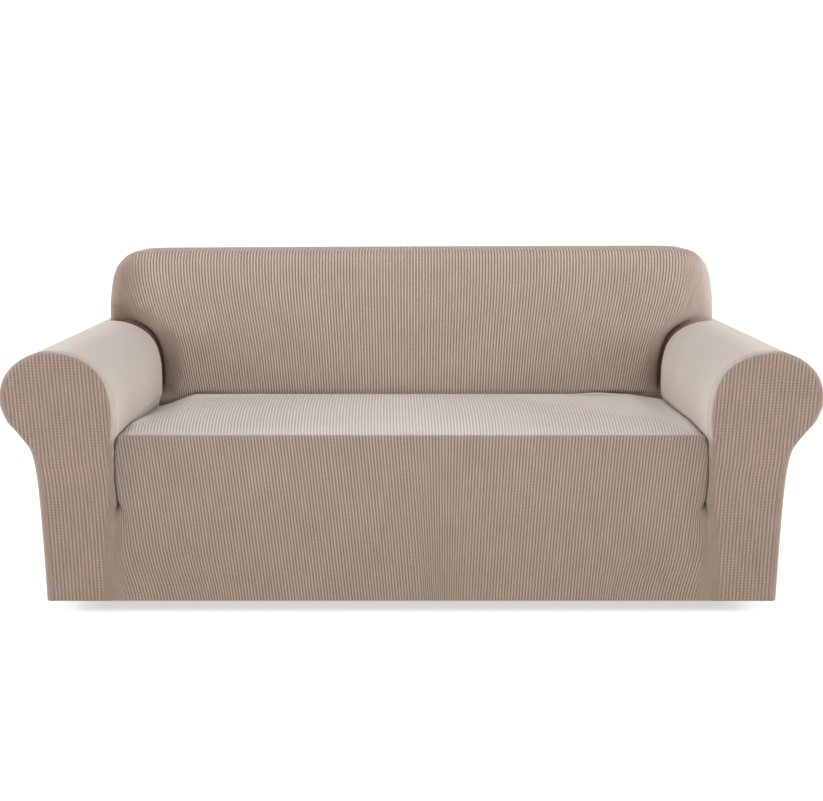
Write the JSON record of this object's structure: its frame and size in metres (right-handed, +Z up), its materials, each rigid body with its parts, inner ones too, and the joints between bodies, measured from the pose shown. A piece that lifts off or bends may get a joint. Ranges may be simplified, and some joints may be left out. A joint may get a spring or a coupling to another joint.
{
  "type": "sofa slipcover",
  "caption": "Fitted stretch-knit slipcover with ribbed seat, back and front panels, smooth rolled arm sleeves and an open underside, shaped as if on its mount.",
  "frame": {"origin": "point under the top of the inside back, in the middle of its width, on the inner face of the cloth, where the cover is held", "axes": "+X along the width, towards the right as seen from the front; +Y towards the rear; +Z up"},
  "size_m": [2, 0.87, 0.8321],
  "materials": {
    "seat": "ribbed stretch knit",
    "front_skirt": "ribbed stretch knit",
    "inside_back": "ribbed stretch knit",
    "outside_back": "ribbed stretch knit",
    "arm_sleeve_left": "smooth stretch knit",
    "arm_sleeve_right": "smooth stretch knit",
    "arm_front_left": "ribbed stretch knit",
    "arm_front_right": "ribbed stretch knit"
  },
  "bodies": {
    "root": {"seat": "seat", "front_skirt": "front_skirt", "inside_back": "inside_back", "outside_back": "outside_back", "arm_sleeve_left": "arm_sleeve_left", "arm_sleeve_right": "arm_sleeve_right", "arm_front_left": "arm_front_left", "arm_front_right": "arm_front_right"}
  },
  "joints": []
}
